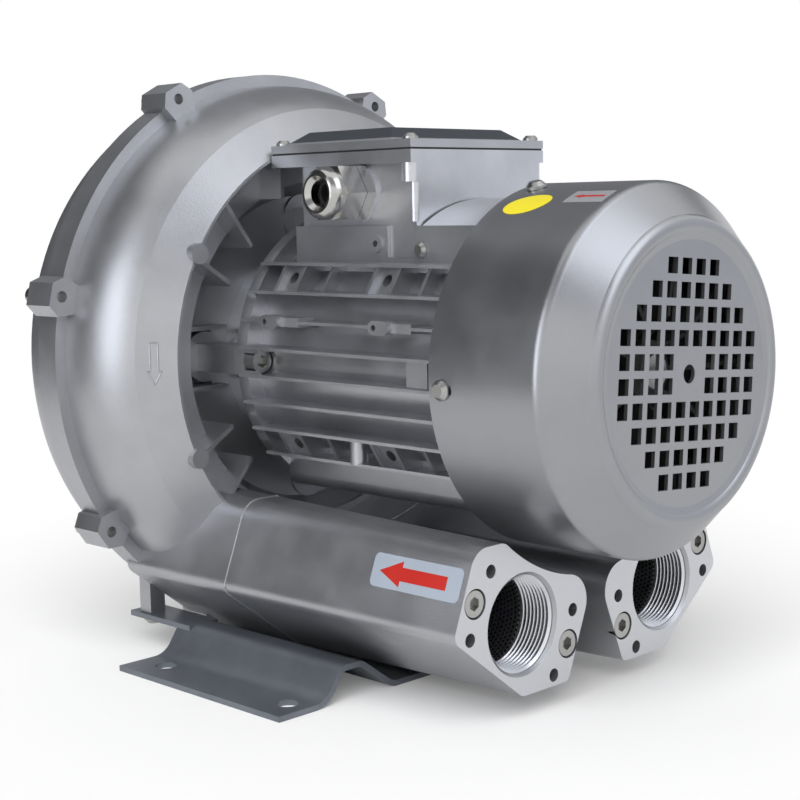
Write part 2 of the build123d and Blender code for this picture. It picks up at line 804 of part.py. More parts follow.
def frame_details(body):
    for side in (-1, 1):
        for row in (0, fin_rows - 2):
            z_hole = fin_pitch * (row - (fin_rows - 2) / 2)
            for y in web_groups:
                body += fin_web(side, row, y - web_spread, y, web_inset + 3)
                body += fin_web(side, row, y - 1.1, y + 1.1, web_inset)
                body += fin_web(side, row, y - web_spread - 1.1, y - web_spread + 1.1, web_inset)
                rear = y - web_spread - web_rear
                body += fin_web(side, row, rear - 1, rear + 1, web_inset + 4)
                hole = Rot(0, 90, 0) * Cylinder(web_hole, web_hole_length)
                body -= Pos(side * 62, y - web_spread / 2, axis_height + z_hole) * hole
        z_pad = fin_pitch * 1.5
        for y in pad_groups:
            x = side * (fin_height(z_pad) + 1)
            pad = Rot(0, 90, 0) * Rot(0, 0, 90) * extrude(SlotOverall(pad_length, pad_height), amount=3, both=True)
            body += Pos(x - side, y, axis_height + z_pad) * pad
            stem_x = sorted((x - 12 * side, x - side))
            body += block(*stem_x, y - 20, y, axis_height + z_pad - 2.4, axis_height + z_pad + 2.4)
            body -= Pos(x, y + 3, axis_height + z_pad) * Rot(0, 90, 0) * Cylinder(1.5, 9)
        body += fin_web(side, 3, frame_front + 12, frame_front + 26, 2)
        z_post = -fin_pitch * (fin_rows / 2 - 1)
        body += Pos(side * 60, post_y, axis_height + z_post) * Cylinder(4.8, fin_pitch)
    return body


def motor_frame():
    body = prism(fin_sketch(), frame_front, fin_back)
    body += ring(ring_radius, frame_bore - 1, frame_back - ring_length, frame_back)
    body += saddle_block(frame_front, saddle_back, 0, saddle_height)
    belly = saddle_block(frame_front + 6, frame_back - ring_length, -saddle_height, 0)
    body += fillet(belly.edges().filter_by(Axis.Y).group_by(Axis.Z)[0], 7)
    round_top = disc(cap_radius, frame_front, frame_front + cap_length)
    body += round_top & saddle_block(frame_front, frame_front + cap_length, 20, cap_radius)
    body += ring(front_flange_radius, frame_bore, frame_front, frame_front + 8)
    notch_y = frame_front + cap_length + 1
    for side in (-1, 1):
        x0, x1 = sorted((side * (saddle_half - notch_depth), side * (saddle_half + 1)))
        body -= block(x0, x1, notch_y, notch_y + notch_length, axis_height + notch_foot, axis_height + saddle_height + 1)
    for angle in ear_angles:
        ear = block(frame_root - 3, ear_circle + ear_half_width, ear_front, frame_back, 0, 2 * ear_half_height)
        body += around(Pos(0, 0, axis_height - ear_half_height) * ear, angle)
    body = frame_details(body)
    body -= rod(frame_bore, frame_front, frame_back)
    for angle in ear_angles:
        x, z = polar(ear_circle, angle)
        body -= rod(ear_screw / 2 + hole_slack, ear_front, frame_back, x, z)
        body -= rod(ear_pocket_radius, ear_front - 1, ear_front + ear_pocket, x, z)
    for angle in shield_screw_angles:
        x, z = polar(shield_screw_circle, angle)
        body -= rod(shield_screw / 2, frame_front, frame_front + 14, x, z)
    body -= block(-lead_hole / 2, lead_hole / 2, lead_y - 15, lead_y + 15, axis_height, axis_height + saddle_height + 1)
    body -= earth_screw_hole()
    for side in (-1, 1):
        corner = Pos(side * saddle_half, saddle_boss_y, axis_height + saddle_boss_z) * Rot(0, 90, 0)
        body += corner * Cylinder(4.5, 2.4)
        body -= corner * Cylinder(1.7, 9)
    for x, y in box_screw_places():
        body -= Pos(x, y, axis_height + saddle_height - 5) * Cylinder(box_screw / 2, 12)
    return body


def ear_screws():
    seat = ear_front + ear_pocket - touch_gap
    return [
        facing(cap_screw(ear_screw, frame_back - seat + 16), x, seat, axis_height + z, (0, -1, 0))
        for x, z in (polar(ear_circle, angle) for angle in ear_angles)
    ]


def drive_end_shield():
    _, d_outer, d_width, _ = drive_bearing
    seat = d_outer / 2 + touch_gap / 2
    back = drive_bearing_y + d_width
    flange = frame_back
    spigot = hub_bore - touch_gap
    nose = joint_y - hub_front - 1.5
    journal = shaft_seal_bore / 2 + loose
    return turned(
        (frame_bore - 9, frame_back - 8),
        (frame_bore - touch_gap, frame_back - 8),
        (frame_bore - touch_gap, flange),
        (shield_radius, flange),
        (shield_radius, floor_y - touch_gap),
        (spigot, floor_y - touch_gap),
        (spigot, nose),
        (seal_outer / 2 + touch_gap, nose),
        (seal_outer / 2 + touch_gap, seal_y),
        (journal, seal_y),
        (journal, back + 3),
        (seat - 6, back + 3),
        (seat - 6, back),
        (seat, back),
        (seat, drive_bearing_y - 6),
        (seat + 7, drive_bearing_y - 6),
        (seat + 12, drive_bearing_y + 3),
        (frame_bore - 9, drive_bearing_y + 1),
    )


def shaft_seal():
    return ring(seal_outer / 2, shaft_seal_bore / 2 + touch_gap, seal_y + touch_gap, seal_y + seal_width)


def fan_end_shield():
    _, f_outer, f_width, _ = fan_bearing
    seat = f_outer / 2 + touch_gap / 2
    front = frame_front - fan_shield_depth
    bore_front = fan_bearing_y - spring_space
    body = turned(
        (fan_bearing[0] / 2 + 1, bore_front - 4),
        (seat + 6, bore_front - 4),
        (seat + 9, front),
        (fan_shield_radius, front),
        (fan_shield_radius, frame_front - touch_gap),
        (frame_bore - touch_gap, frame_front - touch_gap),
        (frame_bore - touch_gap, frame_front + 8),
        (frame_bore - 8, frame_front + 8),
        (frame_bore - 8, front + 6),
        (seat + 8, front + 6),
        (seat + 8, fan_bearing_y + f_width + 4),
        (seat, fan_bearing_y + f_width + 4),
        (seat, bore_front),
        (fan_bearing[0] / 2 + 1, bore_front),
    )
    lug_outer = cowl_radius - cowl_wall - touch_gap
    for angle in cowl_screw_angles:
        boss = block(fan_shield_radius - 14, lug_outer + 2, front, frame_front - touch_gap, axis_height - 9, axis_height + 9)
        body += around(boss, angle) & disc(lug_outer, front, frame_front)
    for angle in cowl_screw_angles:
        tap = Pos(lug_outer - 6, cowl_screw_y, axis_height) * Rot(0, 90, 0) * Cylinder(cowl_screw / 2, 14)
        body -= around(tap, angle)
    for angle in shield_screw_angles:
        x, z = polar(shield_screw_circle, angle)
        body -= rod(shield_screw / 2 + hole_slack, front, frame_front, x, z)
    return body


def shield_screws():
    seat = frame_front - fan_shield_depth
    return [
        facing(cap_screw(shield_screw, fan_shield_depth + 12), x, seat, axis_height + z, (0, -1, 0))
        for x, z in (polar(shield_screw_circle, angle) for angle in shield_screw_angles)
    ]


def wave_spring():
    """The waved washer that preloads the fan-end bearing, as a ring with three crests."""
    _, f_outer, _, _ = fan_bearing
    middle = fan_bearing_y - spring_space / 2
    band = ring(f_outer / 2 - 0.6, f_outer / 2 - 4.6, middle - 0.4, middle + 0.4)
    for i in range(3):
        crest = block(f_outer / 2 - 4.4, f_outer / 2 - 0.9, middle, middle + 1.1, axis_height - 3, axis_height + 3)
        trough = block(f_outer / 2 - 4.4, f_outer / 2 - 0.9, middle - 1.1, middle, axis_height - 3, axis_height + 3)
        band = band + around(crest, 120 * i) + around(trough, 120 * i + 60)
    return band


# ---------------------------------------------------------------- fan and cowl
def cooling_fan():
    bore = shaft_fan / 2 + shaft_fit
    plate_y = fan_front + fan_depth - 3
    body = ring(15, bore, fan_front + 8, fan_front + fan_depth)
    body += ring(fan_radius, 14, plate_y, plate_y + 2.5)
    blade = block(13, fan_radius - 2, fan_front, plate_y + 1, axis_height - 1.1, axis_height + 1.1)
    inner_edge = blade.edges().filter_by(Axis.Z).group_by(Axis.X)[0].sort_by(Axis.Y)[0]
    blade = chamfer(inner_edge, 14)
    return body + [around(blade, 360 * i / fan_blades) for i in range(fan_blades)]


def fan_clip():
    y0 = clip_y + touch_gap
    band = ring(shaft_fan / 2 + 2.6, shaft_fan / 2 - 1 + touch_gap, y0, y0 + clip_thickness)
    return band - block(-3, 3, y0 - 1, y0 + 2, axis_height, axis_height + shaft_fan)


def fan_cowl():
    r, t = cowl_radius, cowl_wall
    top = cowl_face - bead_height
    edges = [
        Polyline((r - t, cowl_back), (r, cowl_back), (r, cowl_shoulder + 2)),
        ThreePointArc((r, cowl_shoulder + 2), (r - 0.6, cowl_shoulder - 0.8), (r - 2.2, cowl_shoulder - 2.8)),
        Line((r - 2.2, cowl_shoulder - 2.8), (bead_radius + 3, cowl_face + 0.8)),
        ThreePointArc((bead_radius + 3, cowl_face + 0.8), (bead_radius - 0.8, top), (bead_radius - 5.4, cowl_face - 0.8)),
        Polyline(
            (bead_radius - 5.4, cowl_face - 0.8),
            (grille_radius + 3, cowl_face),
            (0, cowl_face),
            (0, cowl_face + t),
            (grille_radius + 3, cowl_face + t),
            (bead_radius - 5, cowl_face - 0.8 + t),
        ),
        ThreePointArc(
            (bead_radius - 5, cowl_face - 0.8 + t), (bead_radius - 0.8, top + t), (bead_radius + 2, cowl_face + 0.6 + t)
        ),
        Polyline(
            (bead_radius + 2, cowl_face + 0.6 + t), (r - 3.2, cowl_shoulder - 1.4), (r - t, cowl_shoulder + 2.4),
            (r - t, cowl_back),
        ),
    ]
    body = Pos(0, 0, axis_height) * revolve(make_face(edges), Axis.Y)
    holes = Sketch()
    rows = len(grille_rows)
    for row, count in enumerate(grille_rows):
        z = grille_pitch * ((rows - 1) / 2 - row)
        for column in range(count):
            x = grille_pitch * (column - (count - 1) / 2)
            if hypot(x, z) > grille_pitch:
                holes += Pos(x, z) * Rectangle(grille_hole, grille_hole)
    holes += Circle(grille_centre_hole / 2)
    body -= prism(Rot(0, 0, grille_turn) * holes, top - 1, cowl_face + 2 * t)
    for angle in cowl_screw_angles:
        slot = Rot(0, 90, 0) * extrude(SlotOverall(12, cowl_screw + 2 * hole_slack), amount=10, both=True)
        body -= around(Pos(r, cowl_screw_y, axis_height) * Rot(90, 0, 0) * slot, angle)
    return body


def cowl_screws():
    screws = []
    for angle in cowl_screw_angles:
        screw = Pos(cowl_radius + touch_gap, cowl_screw_y, axis_height) * Rot(0, 90, 0) * pan_screw(cowl_screw, 12)
        screws.append(around(screw, angle))
    return screws


# ---------------------------------------------------------------- terminal box
def box_screw_places():
    for x in (-box_screw_x, box_screw_x):
        for y in (box_front + 14, box_back - 14):
            yield x, y


def lid_screw_places():
    inset = lid_post_radius
    for x in (-box_flange_half + inset, box_flange_half - inset):
        for y in (box_front + inset, box_flange_back - inset):
            yield x, y


def terminal_box():
    z0 = axis_height + saddle_height + touch_gap
    top = axis_height + saddle_height + box_height
    body = block(-box_half, box_half, box_front, box_back, z0, top)
    body = fillet(body.edges().filter_by(Axis.Z), 3)
    body += block(-box_flange_half, box_flange_half, box_front, box_flange_back, top - box_flange_depth, top)
    notch_y = frame_front + cap_length + 1
    for side in (-1, 1):
        x0, x1 = sorted((side * (saddle_half - notch_depth + touch_gap), side * box_half))
        body += block(
            x0, x1, notch_y + touch_gap, notch_y + notch_length - touch_gap,
            axis_height + notch_foot + touch_gap, z0 + 2,
        )
    gland_z = top - gland_drop
    boss = facing(Cylinder(gland_boss_radius, 4), -box_half, gland_y, gland_z, (-1, 0, 0))
    body += boss
    cavity = block(
        -box_half + box_wall, box_half - box_wall, box_front + box_wall, box_back - box_wall, z0 + box_wall, top + 1
    )
    body -= fillet(cavity.edges().filter_by(Axis.Z), 3)
    body -= block(
        -box_half + 10, box_half - 10, box_back - box_wall - 1, box_flange_back - 10,
        top - box_flange_depth + 3, top + 1,
    )
    for x, y in lid_screw_places():
        height = 16 if y < 0 else box_flange_depth
        body += Pos(x, y, top - height / 2) * Cylinder(lid_post_radius, height)
        body -= Pos(x, y, top - 6) * Cylinder(lid_screw / 2, 12.5)
    body -= facing(Cylinder(gland_thread, 30), -box_half, gland_y, gland_z, (-1, 0, 0))
    body -= block(-lead_hole / 2, lead_hole / 2, lead_y - 15, lead_y + 15, z0 - 1, z0 + box_wall + 1)
    for x, y in box_screw_places():
        body -= Pos(x, y, z0 + box_wall / 2) * Cylinder(box_screw / 2 + hole_slack, box_wall + 2)
    return body


def lid_outline(y0, y1, half, z0, z1):
    return block(-half, half, y0, y1, z0, z1)


def lid_gasket():
    z0 = axis_height + saddle_height + box_height + touch_gap
    z1 = z0 + gasket_thickness - 2 * touch_gap
    body = lid_outline(box_front + 0.5, box_flange_back - 0.5, box_flange_half - 0.5, z0, z1)
    body -= block(-box_half + 12, box_half - 12, box_front + 12, box_flange_back - 12, z0 - 1, z1 + 1)
    for x, y in lid_screw_places():
        body -= Pos(x, y, z0) * Cylinder(lid_screw / 2 + hole_slack, 8)
    return body


def terminal_lid():
    z0 = axis_height + saddle_height + box_height + gasket_thickness
    z1 = z0 + lid_thickness - 1.0
    body = lid_outline(box_front, box_flange_back, box_flange_half, z0, z1)
    base = Pos(0, panel_front + panel_length / 2, z1) * Rectangle(
        2 * (panel_half + panel_bevel), panel_length + 2 * panel_bevel
    )
    crown = Pos(0, panel_front + panel_length / 2, z1 + panel_height) * Rectangle(2 * panel_half, panel_length)
    body += loft([base.face(), crown.face()], ruled=True)
    for x, y in lid_screw_places():
        body -= Pos(x, y, z0 + 2) * Cylinder(lid_screw / 2 + hole_slack, 30)
    return body


def lid_screws():
    seat = axis_height + saddle_height + box_height + gasket_thickness + lid_thickness - 1.0 + touch_gap
    return [Pos(x, y, seat) * pan_screw(lid_screw, lid_screw_length) for x, y in lid_screw_places()]


def box_screws():
    seat = axis_height + saddle_height + touch_gap + box_wall
    return [Pos(x, y, seat + touch_gap) * cap_screw(box_screw, 14) for x, y in box_screw_places()]


def terminal_board():
    z0 = axis_height + saddle_height + box_wall + 2 * touch_gap
    body = block(-20, 20, board_y - 16, board_y + 16, z0, z0 + 10)
    for x, y in stud_places():
        body -= Pos(x, y, z0 + 5) * Cylinder(2 + touch_gap, 12)
    return body


def stud_places():
    for row in (-1, 1):
        for column in (-1, 0, 1):
            yield 12 * column, board_y + 8 * row


def terminal_studs():
    z0 = axis_height + saddle_height + box_wall + 3 * touch_gap
    studs = []
    for x, y in stud_places():
        stud = Pos(x, y, z0 + 9) * Cylinder(2, 18)
        nut = Pos(x, y, z0 + 10 + touch_gap) * extrude(RegularPolygon(4.0, 6), amount=3)
        studs.append(stud + nut)
    return studs


# ---------------------------------------------------------------- cable gland
def gland_axis():
    return gland_y, axis_height + saddle_height + box_height - gland_drop


def along_gland(shape, x):
    """Places a shape made along +Z so that it points to -X from the given x."""
    y, z = gland_axis()
    return facing(shape, x, y, z, (-1, 0, 0))


def hexagon(across, length):
    return extrude(RegularPolygon(across / 2 / cos(radians(30)), 6, rotation=gland_hex_turn), amount=length)


def gland_body():
    wall = -box_half - 2 - touch_gap
    body = along_gland(hexagon(gland_hex, gland_body_length), wall)
    stub = Cylinder(gland_thread - touch_gap, 9, align=(Align.CENTER, Align.CENTER, Align.MAX))
    neck = Pos(0, 0, gland_body_length) * Cylinder(
        gland_thread - 1, gland_nut_grip, align=(Align.CENTER, Align.CENTER, Align.MIN)
    )
    bore = Cylinder(cable_hole + seal_wall, gland_cut)
    return along_gland(stub, wall) + body + along_gland(neck, wall) - along_gland(bore, wall)


def gland_seal():
    wall = -box_half - 2 - touch_gap
    start = gland_body_length + 4
    length = gland_nut_grip - 4 - touch_gap
    seal = Pos(0, 0, start) * Cylinder(
        cable_hole + seal_wall - touch_gap, length, align=(Align.CENTER, Align.CENTER, Align.MIN)
    )
    return along_gland(seal - Cylinder(cable_hole - 1.0, gland_cut), wall)


def gland_nut():
    """The dome nut: a hexagon with a round collar, then a dome with the cable hole."""
    wall = -box_half - 2 - touch_gap
    start = gland_body_length + loose
    hex_length = gland_nut_length * 0.62
    prism_part = Pos(0, 0, start) * hexagon(gland_hex, hex_length)
    end = start + gland_nut_length
    crown = [
        Polyline((0, start + 2), (gland_hex / 2, start + 2), (gland_hex / 2, start + hex_length + 1.5)),
        ThreePointArc(
            (gland_hex / 2, start + hex_length + 1.5),
            (gland_hex / 2 - 0.8, end - 2.4),
            (gland_hex / 2 - dome_round, end),
        ),
        Polyline((gland_hex / 2 - dome_round, end), (0, end), (0, start + 2)),
    ]
    dome = Rot(90, 0, 0) * revolve(make_face(crown), Axis.Y)
    nut = prism_part + dome
    grip = start - 1
    hollow = Pos(0, 0, grip) * Cylinder(
        gland_thread - 1 + touch_gap, gland_nut_grip + 1, align=(Align.CENTER, Align.CENTER, Align.MIN)
    )
    mouth = Pos(0, 0, end - mouth_depth / 2) * Cone(cable_hole, cable_hole + mouth_depth, mouth_depth)
    return along_gland(nut - hollow - mouth - Cylinder(cable_hole, gland_cut), wall)


# ---------------------------------------------------------------- earth screw
def earth_screw_hole():
    return facing(Cylinder(2, 24), -saddle_half, earth_y, axis_height + earth_z, (-1, 0, 0))


def earth_screw():
    return facing(pan_screw(4.0, 10), -saddle_half - touch_gap, earth_y, axis_height + earth_z, (-1, 0, 0))


# ---------------------------------------------------------------- foot
foot_top = foot_crest_height + foot_sheet


def foot_profile():
    """The folded sheet's section: flat edges, rounded humps and a flat middle."""
    half = [
        (foot_half_width, 0),
        (foot_outer_bend, 0),
        (foot_crest + foot_crest_half, foot_crest_height),
        (foot_crest - foot_crest_half, foot_crest_height),
        (foot_inner_bend, 0),
    ]
    bends = [foot_outer_radius, foot_crest_radius, foot_crest_radius, foot_inner_radius]
    points = half + [(-x, z) for x, z in reversed(half)]
    lower = FilletPolyline(*points, radius=bends + bends[::-1])
    return make_face(offset(lower, foot_sheet, side=Side.RIGHT))


def foot_boss_places():
    for side in (-1, 1):
        yield side * foot_boss_x, front_boss_y


def leg_places():
    for side in (-1, 1):
        yield side * leg_x, joint_y + touch_gap + leg_depth / 2


def foot():
    profile = Plane(origin=(0, foot_back, 0), x_dir=(1, 0, 0), z_dir=(0, -1, 0)) * foot_profile()
    body = extrude(profile, amount=foot_back - foot_front)
    for side in (-1, 1):
        x = side * foot_crest
        body += block(x - tongue_half, x + tongue_half, foot_back - 12, tongue_back, foot_crest_height, foot_top)
    for x, y in leg_places():
        body -= Pos(x, y, foot_crest_height) * Cylinder(leg_screw / 2 + hole_slack, 12)
    for x, y in foot_boss_places():
        sink = Cone(foot_screw + loose, foot_screw / 2 + hole_slack, foot_screw / 2)
        body -= Pos(x, y, foot_screw / 4) * sink
        body -= Pos(x, y, foot_sheet) * Cylinder(foot_screw / 2 + hole_slack, 6)
    for x in (-foot_spacing_x / 2, foot_spacing_x / 2):
        for y in (foot_holes_y - foot_spacing_y / 2, foot_holes_y + foot_spacing_y / 2):
            body -= Pos(x, y, 0) * Cylinder(foot_hole, 12)
    return body


def foot_screws():
    down = (0, 0, -1)
    legs = [facing(pan_screw(leg_screw, 14), x, y, foot_crest_height - touch_gap, down) for x, y in leg_places()]
    bosses = [facing(flat_screw(foot_screw, foot_screw_length), x, y, touch_gap, down) for x, y in foot_boss_places()]
    return legs + bosses


# ---------------------------------------------------------------- output
outer_d, inner_d, balls_d = bearing(drive_bearing, drive_bearing_y)
outer_f, inner_f, balls_f = bearing(fan_bearing, fan_bearing_y)

save("blower_casing", casing())
save("casing_cover", cover())
save("cover_screws", group(cover_screws()))
save("impeller", impeller())
save("impeller_key", impeller_key())
save("impeller_washer", impeller_washer())
save("impeller_bolt", impeller_bolt_piece())
save("shaft", shaft())
save("rotor_core", rotor_core())
save("rotor_cage", group(rotor_cage()))
save("stator_core", stator_core())
save("stator_windings", stator_windings())
save("motor_frame", motor_frame())
save("frame_screws", group(ear_screws()))
save("drive_end_shield", drive_end_shield())
save("shaft_seal", shaft_seal())
save("fan_end_shield", fan_end_shield())
save("shield_screws", group(shield_screws()))
save("wave_spring", wave_spring())
save("drive_bearing_outer", outer_d)
save("drive_bearing_inner", inner_d)
save("drive_bearing_balls", balls_d)
save("fan_bearing_outer", outer_f)
save("fan_bearing_inner", inner_f)
save("fan_bearing_balls", balls_f)
save("cooling_fan", cooling_fan())
save("fan_clip", fan_clip())
save("fan_cowl", fan_cowl())
save("cowl_screws", group(cowl_screws()))
save("terminal_box", terminal_box())
save("terminal_lid", terminal_lid())
save("lid_gasket", lid_gasket())
save("lid_screws", group(lid_screws()))
save("box_screws", group(box_screws()))
save("terminal_board", terminal_board())
save("terminal_studs", group(terminal_studs()))
save("gland_body", gland_body())
save("gland_nut", gland_nut())
save("gland_seal", gland_seal())
save("earth_screw", earth_screw())
for label, side in (("near", -1), ("far", 1)):
    save(f"silencer_{label}", silencer(side))
    save(f"silencer_liner_{label}", liner(side))
    save(f"silencer_sleeve_{label}", sleeve(side))
    save(f"silencer_screws_{label}", group(port_screws(side)))
save("foot", foot())
save("foot_screws", group(foot_screws()))
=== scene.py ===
# %% [markdown]
# # Dressing a side channel blower
# A side channel blower is a motor with a vaned wheel on its shaft, in a ring-shaped casing.
# The solids come from the CAD frame, and this lesson gives them their paint, their machined
# faces and the small things that a CAD model leaves out: threads, stickers, a sealing bead.
# The frame is loaded first, because every later piece takes its place from it.

# %% Load the frame
import math

import bpy
from mathutils import Matrix, Vector


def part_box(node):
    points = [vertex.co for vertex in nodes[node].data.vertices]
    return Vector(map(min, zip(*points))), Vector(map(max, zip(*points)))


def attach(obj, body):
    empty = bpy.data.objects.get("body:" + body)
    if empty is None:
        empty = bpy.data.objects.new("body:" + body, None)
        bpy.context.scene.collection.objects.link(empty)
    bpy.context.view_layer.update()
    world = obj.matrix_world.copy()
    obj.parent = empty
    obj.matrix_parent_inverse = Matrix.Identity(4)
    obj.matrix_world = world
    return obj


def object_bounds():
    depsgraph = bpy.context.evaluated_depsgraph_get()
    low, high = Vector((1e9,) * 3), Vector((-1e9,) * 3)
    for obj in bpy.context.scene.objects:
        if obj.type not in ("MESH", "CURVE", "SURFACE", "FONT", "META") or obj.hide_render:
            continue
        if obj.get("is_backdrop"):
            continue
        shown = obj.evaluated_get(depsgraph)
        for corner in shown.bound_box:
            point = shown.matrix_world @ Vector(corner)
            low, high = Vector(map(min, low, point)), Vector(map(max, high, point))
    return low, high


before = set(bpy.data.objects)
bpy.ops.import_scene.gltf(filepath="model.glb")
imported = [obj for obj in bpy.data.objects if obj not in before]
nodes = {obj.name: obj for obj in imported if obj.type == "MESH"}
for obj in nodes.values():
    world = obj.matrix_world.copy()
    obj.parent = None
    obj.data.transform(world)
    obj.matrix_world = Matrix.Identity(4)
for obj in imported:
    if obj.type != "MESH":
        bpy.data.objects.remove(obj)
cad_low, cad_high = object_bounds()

print("solids loaded:", len(nodes))

# %% [markdown]
# ## Sizes
# Blender counts in metres, but a maker thinks in millimetres, so one small constant turns
# one into the other. The places below belong to the shaft axis and the two ports, because
# nearly everything on this machine is turned round one of those three lines.

# %% Sizes and places
MM = 0.001
AXIS_HEIGHT = 166.5 * MM
PORT_X = 56 * MM
PORT_Z = AXIS_HEIGHT - 119 * MM
PORT_FACE_Y = -155 * MM
SEAM_Y = 7 * MM
print("port axis height:", round(PORT_Z, 4))

# %% [markdown]
# ## A shorthand for shader nodes
# A finish is a small graph of nodes. Writing each node and link by hand gets long, so one
# helper adds a node with its settings and a second one starts a fresh material. Every
# pattern reads Object coordinates, which stay put on the piece when it turns.

# %% Helpers for shader nodes
def shader(name):
    material = bpy.data.materials.new(name)
    material.use_nodes = True
    return material, material.node_tree


def add(tree, kind, inputs=(), **settings):
    node = tree.nodes.new("ShaderNode" + kind)
    for key, value in settings.items():
        setattr(node, key, value)
    for key, value in dict(inputs).items():
        if isinstance(value, bpy.types.NodeSocket):
            tree.links.new(value, node.inputs[key])
        else:
            node.inputs[key].default_value = value
    return node


def calc(tree, operation, *values):
    return add(tree, "Math", dict(enumerate(values)), operation=operation).outputs[0]


def object_point(tree):
    return add(tree, "TexCoord").outputs["Object"]


def noise(tree, point, scale, detail=3.0, roughness=0.55):
    settings = {"Vector": point, "Scale": scale, "Detail": detail, "Roughness": roughness}
    return add(tree, "TexNoise", settings).outputs["Fac"]


def ranged(tree, value, low, high, start=0.3, end=0.7):
    settings = {"Value": value, "From Min": start, "From Max": end, "To Min": low, "To Max": high}
    return add(tree, "MapRange", settings).outputs["Result"]


def blend(tree, factor, first, second):
    node = add(tree, "Mix", data_type="RGBA")
    for socket, value in ((node.inputs[0], factor), (node.inputs[6], first), (node.inputs[7], second)):
        if isinstance(value, bpy.types.NodeSocket):
            tree.links.new(value, socket)
        else:
            socket.default_value = value
    return node.outputs[2]


def tone(value, tint=(1.0, 1.0, 1.0)):
    return (value * tint[0], value * tint[1], value * tint[2], 1.0)


COOL = (0.97, 0.985, 1.03)
print("helpers ready")

# %% [markdown]
# ## The common finish
# Almost all surfaces here are metal or paint on metal. Each has a colour that drifts a
# little over the piece, a roughness that drifts with it, and a relief: the grain of the
# sand mould, the orange peel of a paint, or the fine lines of a cutting tool. One function
# makes that, and each finish below gives it its own numbers.

# %% The common finish
RELIEF_DEPTH = 0.6 * MM


def metal(name, value, metallic, rough, grain=1200, relief=0.02, drift=0.12, tint=COOL, patch=35):
    material, tree = shader(name)
    surface = tree.nodes["Principled BSDF"]
    point = object_point(tree)
    broad = noise(tree, point, patch, 4)
    fine = noise(tree, point, grain, 3)
    darker, lighter = tone(value * (1 - drift), tint), tone(value * (1 + drift), tint)
    colour = blend(tree, ranged(tree, broad, 0, 1), darker, lighter)
    roughness = ranged(tree, broad, rough * 0.88, rough * 1.12)
    bump = add(tree, "Bump", {"Height": fine, "Distance": RELIEF_DEPTH, "Strength": relief})
    tree.links.new(colour, surface.inputs["Base Color"])
    tree.links.new(roughness, surface.inputs["Roughness"])
    tree.links.new(bump.outputs[0], surface.inputs["Normal"])
    surface.inputs["Metallic"].default_value = metallic
    return material


def surface_of(material):
    return material.node_tree.nodes["Principled BSDF"]


def paint(material, *names):
    for name in names:
        nodes[name].data.materials.clear()
        nodes[name].data.materials.append(material)


def cover_where(material, mask, value, rough, tint=COOL):
    """Puts another colour and roughness over a finish where the mask is 1."""
    tree = material.node_tree
    surface = surface_of(material)
    for socket, new in (("Base Color", tone(value, tint)), ("Roughness", rough)):
        old = surface.inputs[socket].links[0].from_socket
        if socket == "Base Color":
            result = blend(tree, mask, old, new)
        else:
            result = add(tree, "Mix", {0: mask, 2: old, 3: new}).outputs[0]
        tree.links.new(result, surface.inputs[socket])


print("finish function ready")

# %% [markdown]
# ## Cast aluminium under silver paint
# The casing, its cover and both silencers are sand castings sprayed silver. The mould's
# grain shows through the paint as a soft relief, finer than a millimetre. The port faces
# are milled after painting, so there the metal is bright. A mask by height along the shaft
# finds those faces without cutting the mesh.

# %% Casting finish
cast = metal("cast_silver_paint", 0.46, 0.86, 0.36, grain=1400, relief=0.22, drift=0.06)
tree = cast.node_tree
place = add(tree, "SeparateXYZ", {0: object_point(tree)}).outputs
milled = calc(tree, "LESS_THAN", place[1], PORT_FACE_Y + 0.05 * MM)
cover_where(cast, milled, 0.66, 0.34)
paint(cast, "blower_casing", "casing_cover", "silencer_near", "silencer_far")
print("castings painted")

# %% [markdown]
# ## The motor's frame
# The finned frame is die-cast, smoother than sand-cast, with a ring at its end that a
# lathe has turned bright. The mask for that ring needs two conditions: near the casing,
# and inside a certain radius round the shaft.

# %% Motor finish
RING_START_Y = 18.8 * MM
RING_EDGE = 78.2 * MM
die_cast = metal("die_cast_silver", 0.50, 0.88, 0.34, grain=900, relief=0.12, drift=0.08)
tree = die_cast.node_tree
place = add(tree, "SeparateXYZ", {0: object_point(tree)}).outputs
up = calc(tree, "SUBTRACT", place[2], AXIS_HEIGHT)
squares = [calc(tree, "MULTIPLY", value, value) for value in (place[0], up)]
radius = calc(tree, "SQRT", calc(tree, "ADD", *squares))
near_casing = calc(tree, "GREATER_THAN", place[1], RING_START_Y)
inside_ring = calc(tree, "LESS_THAN", radius, RING_EDGE)
cover_where(die_cast, calc(tree, "MULTIPLY", near_casing, inside_ring), 0.62, 0.22)
paint(die_cast, "motor_frame", "drive_end_shield", "fan_end_shield")

box_silver = metal("box_silver_paint", 0.62, 0.88, 0.3, grain=1000, relief=0.1, drift=0.08)
paint(box_silver, "terminal_box")
print("motor painted")

# %% [markdown]
# ## The terminal lid
# The lid is silver like its box, but its raised panel is dark blue-grey. Both belong to
# one pressed piece, so the colour changes by place: above the lid's flange, the panel.

# %% Lid finish
LID_FLANGE_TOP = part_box("terminal_lid")[0][2] + 5.3 * MM
lid_paint = metal("lid_paint", 0.50, 0.8, 0.3, grain=1100, relief=0.1, drift=0.06)
tree = lid_paint.node_tree
place = add(tree, "SeparateXYZ", {0: object_point(tree)}).outputs
panel = calc(tree, "GREATER_THAN", place[2], LID_FLANGE_TOP)
cover_where(lid_paint, panel, 0.13, 0.34, tint=(0.86, 0.98, 1.12))
paint(lid_paint, "terminal_lid")
print("lid flange top at", round(LID_FLANGE_TOP, 4))
